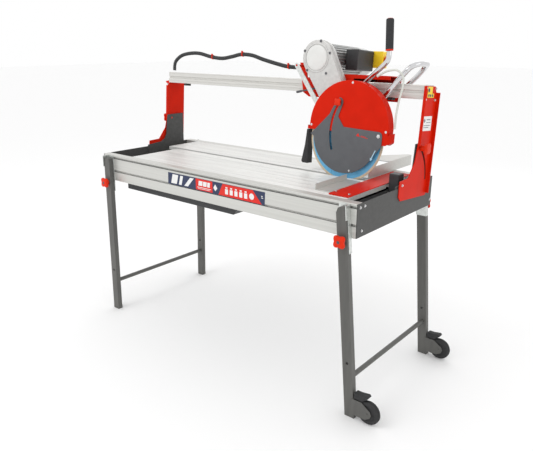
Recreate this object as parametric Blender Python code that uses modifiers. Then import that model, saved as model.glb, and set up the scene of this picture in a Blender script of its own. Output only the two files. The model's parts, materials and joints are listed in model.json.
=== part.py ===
"""Wet tile saw: a tiltable bridge with a sliding motor head over an aluminium table on four legs.

Metres, +Z up, +X toward the operator's end, -Y the front.  Everything below is first drawn upright
about the middle of the table frame at floor level; lean_bridge() then tips the whole bridge back to
the angle it stands at, and settle() moves the object over its own footprint centre.
"""
import math

import bmesh
import bpy
from mathutils import Matrix, Vector

GAP = 0.0003                       # air left between neighbouring pieces
BODY = "wet_tile_saw"

# frame and table
HALF_L, HALF_W = 0.746, 0.299      # half length of the side beams, half width of the frame
TOP_Z, BEAM_Z = 0.844, 0.715       # table surface and underside of the side beams
BEAM_T = 0.037
SLOT_Y = (0.029, 0.053)            # the gap the blade runs in
PLANK_T = 0.016

# legs
LEG_W, LEG_T, LEG_TOP = 0.042, 0.024, 0.834
LEG_Y = 0.3024                     # inner face of the legs, outside the hood's back plate
LEG_PIVOT_Z = 0.812
RIGHT_LEG = (0.675, 0.752)         # inner edge at the top and at the floor
LEFT_LEG = (-0.713, -0.736)
WHEEL_R, WHEEL_W = 0.048, 0.026
WHEEL_AT = (0.850, 0.0482)            # x and z of the wheel axle

# bridge
TILT_Y, TILT_Z = 0.035, 0.845      # tilt axis, in the blade plane at table height
LEAN = math.radians(4.7)           # how far back of upright the bridge stands
ARC_R = 0.182                      # radius of the tilt slots
RAIL_Y, RAIL_Z = (0.128, 0.207), (1.180, 1.236)
POST_X = 0.7505
SADDLE_Z, ROLLER_R = 1.259, 0.0095  # underside of the carriage saddle, radius of its rollers

# head and blade, upright
BLADE_AT, BLADE_R, BLADE_T = (0.471, 1.002), 0.175, 0.0028
BLADE_Y = 0.035
HEAD_PIVOT = (0.288, 1.234)
MOTOR_AT, MOTOR_R, MOTOR_END = (0.268, 1.325), 0.066, 0.452
GUARD_AT, GUARD_R, GUARD_WALL = (0.4805, 1.051), 0.188, 0.0022
GUARD_Y = (0.0200, 0.0625)
SHIELD_PIVOT = (0.629, 1.029)
SHIELD_Y = (0.0168, 0.0188)
CASE_Y = (0.070, 0.112)
LINK_TOP = (0.168, 1.291)

RED, NAVY = (0.66, 0.022, 0.012), (0.02, 0.03, 0.14)
COLOURS = {
    "red_paint": (RED, 0.0, 0.35), "dark_paint": ((0.115, 0.115, 0.110), 0.0, 0.5),
    "aluminium": ((0.72, 0.72, 0.72), 1.0, 0.38), "cast_aluminium": ((0.62, 0.62, 0.61), 1.0, 0.5),
    "galvanised": ((0.60, 0.62, 0.63), 1.0, 0.42), "chrome": ((0.8, 0.8, 0.8), 1.0, 0.12),
    "black_plastic": ((0.02, 0.02, 0.02), 0.0, 0.5), "rubber": ((0.025, 0.025, 0.025), 0.0, 0.85),
    "grey_plate": ((0.15, 0.155, 0.165), 0.0, 0.45), "blade_blue": ((0.16, 0.50, 0.78), 0.1, 0.35),
    "red_plastic": (RED, 0.0, 0.3), "yellow_plastic": ((0.85, 0.62, 0.02), 0.0, 0.4),
    "clear_hose": ((0.75, 0.77, 0.72), 0.0, 0.25),
}

parts, cutters = None, None
made = {}


def material(key):
    """One Principled material per piece, so each can be recoloured alone."""
    colour, metal, rough = COLOURS[key]
    mat = bpy.data.materials.new(key)
    mat.use_nodes = True
    shader = mat.node_tree.nodes["Principled BSDF"]
    shader.inputs["Base Color"].default_value = (*colour, 1.0)
    shader.inputs["Metallic"].default_value = metal
    shader.inputs["Roughness"].default_value = rough
    mat.diffuse_color = (*colour, 1.0)
    return mat


def keep(name, mesh, finish):
    """Put a mesh in the object's collection under its own name and material."""
    obj = bpy.data.objects.new(name, mesh)
    parts.objects.link(obj)
    mesh.name = name
    mesh.materials.clear()
    mesh.materials.append(material(finish))
    made[name] = obj
    return obj


def weld(mesh):
    """Close the seams a converted curve leaves at its caps."""
    bm = bmesh.new()
    bm.from_mesh(mesh)
    bmesh.ops.remove_doubles(bm, verts=bm.verts, dist=1e-5)
    bmesh.ops.recalc_face_normals(bm, faces=bm.faces)
    bm.to_mesh(mesh)
    bm.free()


def curve_mesh(curve):
    """The closed mesh of a curve, welded."""
    obj = bpy.data.objects.new("curve", curve)
    cutters.objects.link(obj)
    mesh = bpy.data.meshes.new_from_object(obj.evaluated_get(bpy.context.evaluated_depsgraph_get()))
    bpy.data.objects.remove(obj, do_unlink=True)
    weld(mesh)
    return mesh


FACING = {"x": Matrix(((0, 0, 1), (1, 0, 0), (0, 1, 0))).to_4x4(),
          "y": Matrix(((1, 0, 0), (0, 0, -1), (0, 1, 0))).to_4x4(),
          "z": Matrix.Identity(4)}


def flat(outlines, axis, span):
    """A flat piece: 2-D outlines filled and given the thickness span along one axis.

    Outlines are in (y, z) for axis x, (x, z) for y and (x, y) for z; inner outlines become holes.
    """
    curve = bpy.data.curves.new("outline", "CURVE")
    curve.dimensions, curve.fill_mode = "2D", "BOTH"
    curve.extrude = (span[1] - span[0]) / 2
    for outline in outlines:
        spline = curve.splines.new("POLY")
        spline.points.add(len(outline) - 1)
        for point, at in zip(spline.points, outline):
            point.co = (at[0], at[1], 0.0, 1.0)
        spline.use_cyclic_u = True
    mesh = curve_mesh(curve)
    middle = (span[0] + span[1]) / 2
    shift = Vector([middle if name == axis else 0.0 for name in "xyz"])
    mesh.transform(Matrix.Translation(shift) @ FACING[axis])
    weld(mesh)
    return mesh


def ring(at, radius, steps=24, start=0.0, lobes=0, depth=0.0):
    """Points round a circle, or round a lobed knob when lobes is given."""
    points = []
    for i in range(steps):
        turn = start + 2 * math.pi * i / steps
        r = radius * (1 + depth * math.cos(lobes * turn))
        points.append((at[0] + r * math.cos(turn), at[1] + r * math.sin(turn)))
    return points


def arc(at, radius, a0, a1, steps):
    """Points along an arc between two angles in degrees."""
    turns = [math.radians(a0 + (a1 - a0) * i / steps) for i in range(steps + 1)]
    return [(at[0] + radius * math.cos(t), at[1] + radius * math.sin(t)) for t in turns]


def slot_arc(at, radius, width, a0, a1, steps=8):
    """A curved slot: an outer and an inner arc joined into one loop."""
    return arc(at, radius + width / 2, a0, a1, steps) + arc(at, radius - width / 2, a1, a0, steps)


def rounded(x0, x1, y0, y1, r, steps=3):
    """A rectangle with rounded corners."""
    corners = [(x1 - r, y1 - r, 0), (x0 + r, y1 - r, 90), (x0 + r, y0 + r, 180), (x1 - r, y0 + r, 270)]
    return [p for cx, cy, a in corners for p in arc((cx, cy), r, a, a + 90, steps)]


def hull(c0, r0, c1, r1, steps=12):
    """The outline of two circles wrapped by a belt."""
    dx, dy = c1[0] - c0[0], c1[1] - c0[1]
    way = math.degrees(math.atan2(dy, dx))
    lean = math.degrees(math.acos((r0 - r1) / math.hypot(dx, dy)))
    return arc(c0, r0, way + lean, way + 360 - lean, steps) + arc(c1, r1, way - lean, way + lean, steps)


def block(x, y, z):
    """An axis-aligned box from its three spans."""
    return flat([[(x[0], y[0]), (x[1], y[0]), (x[1], y[1]), (x[0], y[1])]], "z", z)


def disc(at, radius, axis, span, steps=24):
    """A round bar along an axis, at a point of the two other coordinates."""
    return flat([ring(at, radius, steps)], axis, span)


def rod(a, b, radius, steps=12):
    """A straight round bar between any two points."""
    a, b = Vector(a), Vector(b)
    mesh = flat([ring((0, 0), radius, steps)], "z", (0.0, (b - a).length))
    mesh.transform(Matrix.Translation(a) @ (b - a).to_track_quat("Z", "Y").to_matrix().to_4x4())
    return mesh


def tube(points, radius, sides=2):
    """A round tube or cord swept through points, its ends filled."""
    curve = bpy.data.curves.new("run", "CURVE")
    curve.dimensions, curve.bevel_depth, curve.use_fill_caps = "3D", radius, True
    curve.bevel_resolution = sides
    spline = curve.splines.new("POLY")
    spline.points.add(len(points) - 1)
    for point, at in zip(spline.points, points):
        point.co = (*at, 1.0)
    return curve_mesh(curve)


def smooth_run(stops, steps):
    """Points along a Catmull-Rom line: between P1 and P2, with neighbours P0 and P3, the point is
    ((2 P1) + (P2 - P0) t + (2 P0 - 5 P1 + 4 P2 - P3) t^2 + (3 P1 - P0 - 3 P2 + P3) t^3) / 2."""
    pts = [Vector(p) for p in (stops[0], *stops, stops[-1])]
    run = []
    for p0, p1, p2, p3 in zip(pts, pts[1:], pts[2:], pts[3:]):
        for i in range(steps):
            t = i / steps
            run.append((2 * p1 + (p2 - p0) * t + (2 * p0 - 5 * p1 + 4 * p2 - p3) * t * t
                        + (3 * p1 - p0 - 3 * p2 + p3) * t ** 3) / 2)
    return run + [pts[-1]]


def turned(profile, axis, at, steps=28):
    """A turned piece: a profile of (radius, height) run round an axis through a point."""
    mesh = bpy.data.meshes.new("profile")
    mesh.from_pydata([(r, 0.0, h) for r, h in profile], [(i, i + 1) for i in range(len(profile) - 1)], [])
    obj = bpy.data.objects.new("profile", mesh)
    cutters.objects.link(obj)
    screw = obj.modifiers.new("turn", "SCREW")
    screw.steps = screw.render_steps = steps
    screw.use_merge_vertices, screw.merge_threshold = True, 1e-5
    out = bpy.data.meshes.new_from_object(obj.evaluated_get(bpy.context.evaluated_depsgraph_get()))
    bpy.data.objects.remove(obj, do_unlink=True)
    place = {"y": Matrix.Rotation(math.radians(-90), 4, "X"), "z": Matrix.Identity(4),
             "x": Matrix.Rotation(math.radians(90), 4, "Y")}[axis]
    out.transform(Matrix.Translation(at) @ place)
    weld(out)
    return out


def combine(mesh, others, how):
    """Boolean a mesh with others, in one exact operation each."""
    base = bpy.data.objects.new("base", mesh)
    cutters.objects.link(base)
    tools = []
    for other in others:
        tool = bpy.data.objects.new("tool", other)
        cutters.objects.link(tool)
        tool.hide_render, tool.display_type = True, "WIRE"
        mod = base.modifiers.new("cut", "BOOLEAN")
        mod.operation, mod.solver, mod.object = how, "EXACT", tool
        tools.append(tool)
    bpy.context.view_layer.update()
    out = bpy.data.meshes.new_from_object(base.evaluated_get(bpy.context.evaluated_depsgraph_get()))
    for obj in (base, *tools):
        bpy.data.objects.remove(obj, do_unlink=True)
    weld(out)
    return out


def cut(mesh, *others):
    return combine(mesh, others, "DIFFERENCE")


def join(mesh, *others):
    return combine(mesh, others, "UNION")


def side_beams():
    """Two extruded side beams, each with two T-slot grooves along its outer face."""
    for name, side in (("front_beam", -1), ("rear_beam", 1)):
        outer, inner = side * HALF_W, side * (HALF_W - BEAM_T)
        y = sorted((outer, inner))
        beam = block((-HALF_L, HALF_L), y, (BEAM_Z, TOP_Z))
        for z in ((0.826, 0.834), (0.760, 0.768)):
            groove = sorted((outer + side * 0.01, outer - side * 0.007))
            beam = cut(beam, block((-HALF_L - 0.01, HALF_L + 0.01), groove, z))
        keep(name, beam, "aluminium")


def table_planks():
    """The two table halves: ribbed extrusions either side of the blade slot."""
    inner = HALF_W - BEAM_T - GAP
    for name, x, y in (("front_table", (-0.565, 0.678), (-inner, SLOT_Y[0])),
                       ("rear_table", (-0.655, 0.678), (SLOT_Y[1], inner))):
        plank = block(x, y, (TOP_Z - PLANK_T, TOP_Z))
        for i in range(1, 4):
            at = y[0] + (y[1] - y[0]) * i / 4
            rib = block((x[0] - 0.01, x[1] + 0.01), (at - 0.002, at + 0.002), (TOP_Z - 0.002, TOP_Z + 0.01))
            plank = cut(plank, rib)
        keep(name, plank, "aluminium")


def end_plates():
    """Plates closing the frame between the side beams at both ends."""
    for name, side in (("left_end_plate", -1), ("right_end_plate", 1)):
        x = sorted((side * (HALF_L + GAP), side * (HALF_L + 0.0035)))
        plate = block(x, (-HALF_W, HALF_W), (BEAM_Z + 0.001, TOP_Z - 0.0005))
        keep(name, plate, "dark_paint")


def water_tray():
    """The water pan under the table: deep at the left, shallow toward the operator's end."""
    def profile(t):
        return [(-0.655 + t, 0.800 + t), (-0.655 + t, 0.664 + t), (0.087 - t, 0.664 + t),
                (0.150 - t, 0.735 + t), (0.640 - t, 0.735 + t), (0.640 - t, 0.800 + t)]
    pan = flat([profile(0.0)], "y", (-0.235, 0.235))
    keep("water_tray", cut(pan, flat([profile(0.0025)], "y", (-0.2325, 0.2325))), "black_plastic")


def water_pump():
    """A small submersible pump standing on the shallow end of the tray, its neck above the table."""
    body = block((0.683, 0.727), (0.038, 0.082), (0.740, 0.888))
    keep("water_pump", body, "black_plastic")


def angle_plate():
    """The red plate across the right end of the table that carries the fence."""
    plate = flat([rounded(0.586, 0.676, -0.246, 0.250, 0.006)], "z", (TOP_Z + GAP, TOP_Z + 0.0035))
    keep("angle_plate", plate, "red_paint")


def fence_bars():
    """The stops the tile is pushed against: a low angle in front of the blade, and behind it a taller
    one that overhangs the rear beam under a folded guide plate."""
    z0 = TOP_Z + GAP
    low = [(0.5120, z0), (0.5800, z0), (0.5800, z0 + 0.003), (0.5150, z0 + 0.003), (0.5150, z0 + 0.024),
           (0.5120, z0 + 0.024)]
    keep("fence_front", flat([low], "y", (-0.225, -0.004)), "aluminium")
    tall = [(0.5450, z0), (0.5760, z0), (0.5760, z0 + 0.0447), (0.5730, z0 + 0.0447), (0.5730, z0 + 0.003),
            (0.5450, z0 + 0.003)]
    guide = [(0.5760, 0.444), (0.5570, 0.444), (0.4300, 0.290), (0.4800, 0.235), (0.5760, 0.235)]
    bar = flat([tall], "y", (0.066, 0.444))
    keep("fence_rear", join(bar, flat([guide], "z", (z0 + 0.0440, z0 + 0.0465))), "aluminium")


def tilt_brackets():
    """Dark brackets on the end plates: the bridge pivots and clamps on them."""
    for name, side in (("left_bracket", -1), ("right_bracket", 1)):
        x = sorted((side * (HALF_L - 0.0003), side * (HALF_L - 0.0043)))
        outline = [(-0.020, 0.722), (0.236, 0.722), (0.236, 0.824), (0.2385, 1.000), (0.127, 1.000),
                   (0.112, 0.895), (0.098, 0.872), (0.069, 0.858), (-0.020, 0.852)]
        keep(name, flat([outline], "x", x), "dark_paint")


def leg_edge(edges, z):
    """x of a splayed leg's inner edge at height z."""
    return edges[1] + (edges[0] - edges[1]) * z / LEG_TOP


def leg_outline(edges):
    """A splayed leg in the (x, z) plane: its foot level with the floor, its top rounded on the pivot."""
    at, low, high = leg_edge(edges, LEG_PIVOT_Z) + LEG_W / 2, LEG_PIVOT_Z - 0.004, LEG_PIVOT_Z + 0.0145
    return [(edges[1], 0.0), (edges[1] + LEG_W, 0.0), (leg_edge(edges, low) + LEG_W, low),
            (at + 0.0140, high), (at + 0.0060, LEG_PIVOT_Z + 0.0198), (at - 0.0060, LEG_PIVOT_Z + 0.0198),
            (at - 0.0140, high), (leg_edge(edges, low), low)]


def strip(edges, left, right, z, y):
    """A flat piece of a hood that follows a leg's slope: left and right are offsets from its edge."""
    corners = [(leg_edge(edges, z[0]) + left, z[0]), (leg_edge(edges, z[0]) + right, z[0]),
               (leg_edge(edges, z[1]) + right, z[1]), (leg_edge(edges, z[1]) + left, z[1])]
    return flat([corners], "y", sorted(y))


def legs():
    """Four rectangular tube legs outside the beams, and the folded hoods that hold them."""
    for end, edges, out in (("right", RIGHT_LEG, 1), ("left", LEFT_LEG, -1)):
        for face, side in (("front", -1), ("rear", 1)):
            y = sorted((side * LEG_Y, side * (LEG_Y + LEG_T)))
            hole = ring((leg_edge(edges, 0.226) + LEG_W / 2, 0.226), 0.006, 12)
            leg = flat([leg_outline(edges), hole], "y", y)
            if end == "right":
                leg = join(leg, *wheel_fork(side * (LEG_Y + LEG_T / 2)))
            keep(f"leg_{face}_{end}", leg, "dark_paint")
            near = LEG_W + GAP if out > 0 else -GAP - 0.0028
            far = near + 0.0028
            back = strip(edges, -0.0031, LEG_W + 0.0031, (0.660, 0.8405),
                         (side * (HALF_W + GAP), side * (LEG_Y - GAP)))
            upper = strip(edges, near, far, (0.786, 0.8405), (side * (HALF_W + GAP), side * 0.3310))
            lower = strip(edges, near, far, (0.660, 0.790), (side * (HALF_W + GAP), side * 0.3190))
            keep(f"hood_{face}_{end}", join(back, upper, lower), "galvanised")


def braces():
    """A round bar ties the two legs of each end together."""
    for end, edges in (("right", RIGHT_LEG), ("left", LEFT_LEG)):
        x = leg_edge(edges, 0.160) + LEG_W / 2
        half = LEG_Y - GAP
        keep(f"brace_{end}", disc((x, 0.160), 0.010, "y", (-half, half), 16), "dark_paint")


def wheels():
    """Two transport wheels beside the feet of the right legs."""
    for face, side in (("front", -1), ("rear", 1)):
        middle = side * (LEG_Y + LEG_T / 2)
        half = WHEEL_W / 2
        profile = [(0.0052, half - 0.002), (0.0052, half), (0.016, half), (0.020, half - 0.004),
                   (WHEEL_R - 0.006, half - 0.003), (WHEEL_R, half - 0.009), (WHEEL_R, -half + 0.009),
                   (WHEEL_R - 0.006, -half + 0.003), (0.020, -half + 0.004), (0.016, -half),
                   (0.0052, -half), (0.0052, half - 0.002)]
        keep(f"wheel_{face}", turned(profile, "y", (WHEEL_AT[0], middle, WHEEL_AT[1]), 28), "rubber")


def wheel_fork(middle):
    """The fork welded to a right leg for its wheel: two cheeks, a web and the axle."""
    half = WHEEL_W / 2 + 0.0012
    cheek = [(0.7880, 0.022), (0.8120, 0.020), (0.8450, 0.022), (0.8630, 0.034), (0.8690, 0.048),
             (0.8640, 0.062), (0.8250, 0.088), (0.7880, 0.088)]
    fork = flat([cheek], "y", (middle - half - 0.0025, middle - half))
    other = flat([cheek], "y", (middle + half, middle + half + 0.0025))
    back = [(0.7880, 0.024), (0.7945, 0.024), (0.7900, 0.088), (0.7830, 0.088)]
    web = flat([back], "y", (middle - half - 0.0025, middle + half + 0.0025))
    axle = disc(WHEEL_AT, 0.0045, "y", (middle - half - 0.005, middle + half + 0.005), 12)
    return fork, other, web, axle


def knob(name, at, axis, span, radius=0.021):
    """A four-lobed clamping knob: a waisted hub under a lobed grip."""
    near, far = span
    step = near + (far - near) * 0.45
    grip = flat([ring(at, radius, 24, lobes=4, depth=0.16)], axis, sorted((step, far)))
    hub = disc(at, radius * 0.5, axis, sorted((near, step + (far - near) * 0.1)), 12)
    keep(name, join(hub, grip), "red_plastic")


def leg_knobs():
    """The knobs that lock the legs in their hoods, one a leg."""
    for end, edges in (("right", RIGHT_LEG), ("left", LEFT_LEG)):
        x = leg_edge(edges, 0.708) + LEG_W / 2
        for face, side in (("front", -1), ("rear", 1)):
            near = side * (LEG_Y + LEG_T + GAP)
            knob(f"leg_knob_{face}_{end}", (x, 0.708), "y", (near, near + side * 0.027), 0.0235)


def posts():
    """The two bridge posts: a folded channel with a gusset foot and tilt slot; the left has an ear."""
    pivot = (TILT_Y, TILT_Z)
    foot = [(0.118, 1.000), (0.106, 0.937), (0.063, 0.876), (-0.004, 0.868), (-0.004, 0.808), (0.013, 0.790),
            (0.230, 0.790), (0.242, 0.802), (0.238, 1.209), (0.228, 1.209), (0.216, 1.232)]
    tops = {"left_post": [(0.137, 1.232), (0.136, 1.182), (0.1205, 1.165)], "right_post": [(0.120, 1.232)]}
    for name, side in (("left_post", -1), ("right_post", 1)):
        x0, x1 = side * POST_X, side * (POST_X + 0.0032)
        slot = slot_arc(pivot, ARC_R, 0.0125, 4.0, 58.0)
        web = flat([tops[name] + foot, slot], "x", sorted((x0, x1)))
        high = 1.232 if side > 0 else 1.165
        front = block(sorted((x0, side * (POST_X + 0.0120))), (0.1190, 0.1222), (1.000, high))
        back = block(sorted((x0, side * (POST_X + 0.0160))), (0.2360, 0.2392), (0.800, 1.2085))
        folds = [front, back]
        if side < 0:
            ear = [(-0.7510, 1.140), (-0.7580, 1.152), (-0.7860, 1.186), (-0.7510, 1.192)]
            folds.append(flat([ear], "y", (0.1350, 0.1382)))
        keep(name, join(web, *folds), "red_paint")


def guide_rail():
    """The aluminium rail bolted between the posts, grooved front and back for the rollers."""
    rail = flat([[(RAIL_Y[0], RAIL_Z[0]), (RAIL_Y[1], RAIL_Z[0]), (RAIL_Y[1], RAIL_Z[1]),
                  (RAIL_Y[0], RAIL_Z[1])]], "x", (-POST_X + GAP, POST_X - GAP))
    for y in ((RAIL_Y[0] - 0.01, RAIL_Y[0] + 0.006), (RAIL_Y[1] - 0.006, RAIL_Y[1] + 0.01)):
        rail = cut(rail, block((-0.8, 0.8), y, (1.204, 1.214)))
    keep("guide_rail", rail, "aluminium")
    for name, x in (("stop_left", (-0.637, -0.613)), ("stop_right", (0.588, 0.608))):
        keep(name, block(x, (0.1350, 0.1650), (1.1690, RAIL_Z[0] - GAP)), "rubber")


def tilt_knobs():
    """The two knobs that clamp the tilt, on studs of the fixed brackets."""
    turn = math.radians(53.0) - LEAN
    at = (TILT_Y + ARC_R * math.cos(turn), TILT_Z + ARC_R * math.sin(turn))
    for name, side in (("tilt_knob_left", -1), ("tilt_knob_right", 1)):
        near, far = side * HALF_L, side * (POST_X + 0.0380)
        grip = flat([ring(at, 0.022, 24, lobes=4, depth=0.16)], "x", sorted((side * (POST_X + 0.020), far)))
        stud = disc(at, 0.0045, "x", sorted((near, side * (POST_X + 0.022))), 12)
        hub = disc(at, 0.0110, "x", sorted((side * (POST_X + 0.0036), side * (POST_X + 0.021))), 16)
        keep(name, join(stud, hub, grip), "red_plastic")


def carriage():
    """The sliding carriage: a front plate, a saddle over the rail and a back plate, welded, with the
    head's pivot pin, the link's stud and the four roller axles."""
    front = flat([[(0.146, 1.305), (0.176, 1.305), (0.190, 1.243), (0.330, 1.243), (0.330, SADDLE_Z + 0.004),
                   (0.600, SADDLE_Z + 0.004), (0.600, 1.247), (0.430, 1.247), (0.430, 1.205), (0.500, 1.185),
                   (0.500, 1.160), (0.205, 1.160), (0.172, 1.178)]],
                 "y", (0.1180, 0.1240))
    top = block((0.330, 0.600), (0.1180, 0.2180), (SADDLE_Z, SADDLE_Z + 0.004))
    back = block((0.330, 0.600), (0.2120, 0.2180), (1.1600, SADDLE_Z + 0.004))
    pins = [disc(HEAD_PIVOT, 0.0090, "y", (0.0950, 0.1200), 20), disc(LINK_TOP, 0.0042, "y", (0.0630, 0.1200), 12)]
    axles = [disc(at, 0.0030, "y", (0.1440, 0.2160), 10) for at in roller_seats().values()]
    keep("carriage", join(front, top, back, *pins, *axles), "red_paint")


def roller_seats():
    """Where the four rollers sit: two on top of the rail and two under it, as (x, z)."""
    upper, lower = RAIL_Z[1] + GAP + ROLLER_R, RAIL_Z[0] - GAP - ROLLER_R
    return {"roller_upper_left": (0.380, upper), "roller_upper_right": (0.480, upper),
            "roller_lower_left": (0.380, lower), "roller_lower_right": (0.480, lower)}


def rollers():
    """Four flanged rollers that carry the carriage on the rail."""
    for name, (x, z) in roller_seats().items():
        y0, y1 = RAIL_Y[0] + 0.008, RAIL_Y[1] - 0.008
        profile = [(0.0033, y1), (ROLLER_R - 0.001, y1), (ROLLER_R, y1 - 0.001), (ROLLER_R, y0 + 0.001),
                   (ROLLER_R - 0.001, y0), (0.0033, y0), (0.0033, y1)]
        keep(name, turned(profile, "y", (x, 0.0, z), 20), "black_plastic")


def push_handle():
    """The U-shaped tube the operator pushes the carriage by, straddling the rail."""
    near, far = 0.1055, 0.2310
    stops = [(0.505, near, 1.172), (0.560, near, 1.172), (0.590, near, 1.184), (0.655, near, 1.262),
             (0.690, near + 0.004, 1.300), (0.712, near + 0.030, 1.314), (0.716, (near + far) / 2, 1.316),
             (0.712, far - 0.030, 1.314), (0.690, far - 0.004, 1.300), (0.655, far, 1.262),
             (0.590, far, 1.200), (0.560, far, 1.196), (0.480, far, 1.196)]
    keep("push_handle", tube(smooth_run(stops, 3), 0.0110, 2), "chrome")


def gear_case():
    """The cast belt case: a round motor end narrowing down to the blade spindle."""
    body = flat([hull(MOTOR_AT, 0.073, BLADE_AT, 0.048, 16)], "y", CASE_Y)
    boss = disc(BLADE_AT, 0.0200, "y", (0.0632, 0.0720), 24)
    bore = disc(BLADE_AT, 0.0092, "y", (0.0500, 0.1050), 20)
    socket = disc(HEAD_PIVOT, 0.0094, "y", (0.0945, 0.1300), 20)
    case = cut(join(body, boss), bore, socket)
    cover = turned([(0.0, 0.0), (0.050, 0.0), (0.054, 0.0018), (0.054, 0.0048), (0.0, 0.0048)], "y",
                   (MOTOR_AT[0], CASE_Y[0] - 0.0051, MOTOR_AT[1]), 32)
    keep("gear_case", case, "cast_aluminium")
    keep("case_cover", cover, "cast_aluminium")


def motor():
    """The finned electric motor behind the case, with its terminal box on the right side."""
    x, z = MOTOR_AT
    y0, y1 = CASE_Y[1] + GAP, MOTOR_END
    r = MOTOR_R
    profile = [(0.0, y1), (r - 0.012, y1), (r - 0.001, y1 - 0.012), (r - 0.001, y1 - 0.070),
               (r - 0.004, y1 - 0.074), (r - 0.004, y0 + 0.020), (r, y0 + 0.016), (r, y0), (0.0, y0)]
    keep("motor", turned([(rad, y) for rad, y in profile], "y", (x, 0.0, z), 32), "cast_aluminium")
    box = flat([rounded(x + r - 0.0005, x + r + 0.061, 1.283, 1.370, 0.004, 2)], "y", (0.195, 0.330))
    neck = cut(box, disc(MOTOR_AT, r + 0.0004, "y", (0.15, 0.35), 48))
    keep("terminal_box", neck, "black_plastic")


def switch_box():
    """The yellow switch box behind the terminal box, its red stop button a sprung slide."""
    x1, button = 0.440, (0.351, 1.336)
    box = flat([rounded(0.378, x1, 1.299, 1.371, 0.005, 2)], "y", (0.330 + GAP, 0.372))
    well = disc(button, 0.0072, "x", (x1 - 0.012, x1 + 0.020), 20)
    keep("switch_box", cut(box, well), "yellow_plastic")
    stem = disc(button, 0.0066, "x", (x1 - 0.0075, x1 + 0.007), 16)
    head = disc(button, 0.0160, "x", (x1 + 0.0055, x1 + 0.0175), 20)
    keep("stop_button", join(stem, head), "red_plastic")


def handle():
    """The chromed plunge handle from the case up to its grip."""
    stops = [(0.459, 0.0960, 1.158), (0.475, 0.0960, 1.205), (0.515, 0.085, 1.240), (0.570, 0.055, 1.274),
             (0.622, 0.030, 1.308), (0.634, 0.026, 1.325), (0.635, 0.026, 1.352)]
    keep("handle_tube", tube(smooth_run(stops, 3), 0.0100, 2), "chrome")
    grip = turned([(0.0, 0.118), (0.0120, 0.118), (0.0150, 0.114), (0.0150, 0.002), (0.0135, 0.0),
                   (0.0, 0.0)], "z", (0.0, 0.0, 0.0), 20)
    grip.transform(Matrix.Translation((0.635, 0.026, 1.3540)) @ Matrix.Rotation(math.radians(-5), 4, "Y"))
    keep("handle_grip", grip, "rubber")


def blade_set():
    """The blade on its spindle between two flanges."""
    x, z = BLADE_AT
    half = BLADE_T / 2
    disc_mesh = flat([ring(BLADE_AT, BLADE_R, 72), ring(BLADE_AT, 0.0096, 20)], "y",
                     (BLADE_Y - half, BLADE_Y + half))
    keep("blade", disc_mesh, "blade_blue")
    shaft = turned([(0.0, 0.1040), (0.0088, 0.1040), (0.0088, 0.0450), (0.0300, 0.0450),
                    (0.0300, BLADE_Y + half + GAP), (0.0090, BLADE_Y + half + GAP), (0.0090, 0.0300),
                    (0.0060, 0.0300), (0.0060, 0.0245), (0.0, 0.0245)], "y", (x, 0.0, z), 24)
    keep("blade_shaft", shaft, "galvanised")
    nut = turned([(0.0064, 0.0297), (0.0064, 0.0240), (0.0120, 0.0240), (0.0120, 0.0275),
                  (0.0300, 0.0275), (0.0300, BLADE_Y - half - GAP), (0.0096, BLADE_Y - half - GAP),
                  (0.0096, 0.0297), (0.0064, 0.0297)], "y", (x, 0.0, z), 24)
    keep("blade_nut", nut, "galvanised")


def guard():
    """The two-piece blade guard: a front dish and a rear dish that meet at a flange."""
    (cx, cz), r, t = GUARD_AT, GUARD_R, GUARD_WALL
    low = cz - 0.018
    mid = 0.0500
    dome = arc(GUARD_AT, r, 185.5, -5.5, 28)
    inner = arc(GUARD_AT, r - t, 185.5, -5.5, 28)
    right = [(cx + r + 0.008, low + 0.010), (cx + r + 0.008, 1.005), (cx + r - 0.008, 0.994),
             (cx + r - 0.030, 0.994), (cx + r - 0.034, low)]
    outline = [(cx - r - 0.010, low + 0.012)] + dome + right + [(cx - r - 0.010, low - 0.004)]
    front = flat([outline], "y", (GUARD_Y[0], mid - GAP))
    open_side = [(cx - r + 0.0025, low - 0.02)] + inner + [(cx + r - t, low - 0.06)]
    keep("guard_front", cut(front, flat([open_side], "y", (GUARD_Y[0] + t, mid + 0.01))), "red_paint")
    hub = arc(BLADE_AT, 0.060, 200, 340, 10)
    skirt = [(cx - 0.075, low)] + hub + [(cx + 0.080, low)]
    back_outline = [(cx - r - 0.010, low + 0.012)] + dome + right + skirt[::-1] + [(cx - r - 0.010, low - 0.004)]
    rear = flat([back_outline, ring(BLADE_AT, 0.0208, 24)], "y", (mid, GUARD_Y[1]))
    rear_open = [(cx - r + 0.0025, low - 0.02), (cx - r + 0.0025, low - 0.10)] + [
        (cx + r - t, low - 0.10)] + inner[::-1]
    shell = cut(rear, flat([rear_open], "y", (mid - 0.01, GUARD_Y[1] - t)))
    g = (LINK_TOP[0] + BLADE_AT[0] - HEAD_PIVOT[0], LINK_TOP[1] + BLADE_AT[1] - HEAD_PIVOT[1])
    keep("guard_rear", join(shell, disc(g, 0.0042, "y", (GUARD_Y[1] - 0.001, 0.0690), 12)), "red_paint")


def splash_flap():
    """The ribbed rubber flap hanging at the left of the guard."""
    side = [(0.2860, 1.0270), (0.2760, 1.0270), (0.2700, 0.9600), (0.2560, 0.8870), (0.2600, 0.8790),
            (0.2900, 0.8790)]
    keep("splash_flap", flat([side], "y", (0.0235, 0.0590)), "rubber")


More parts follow.
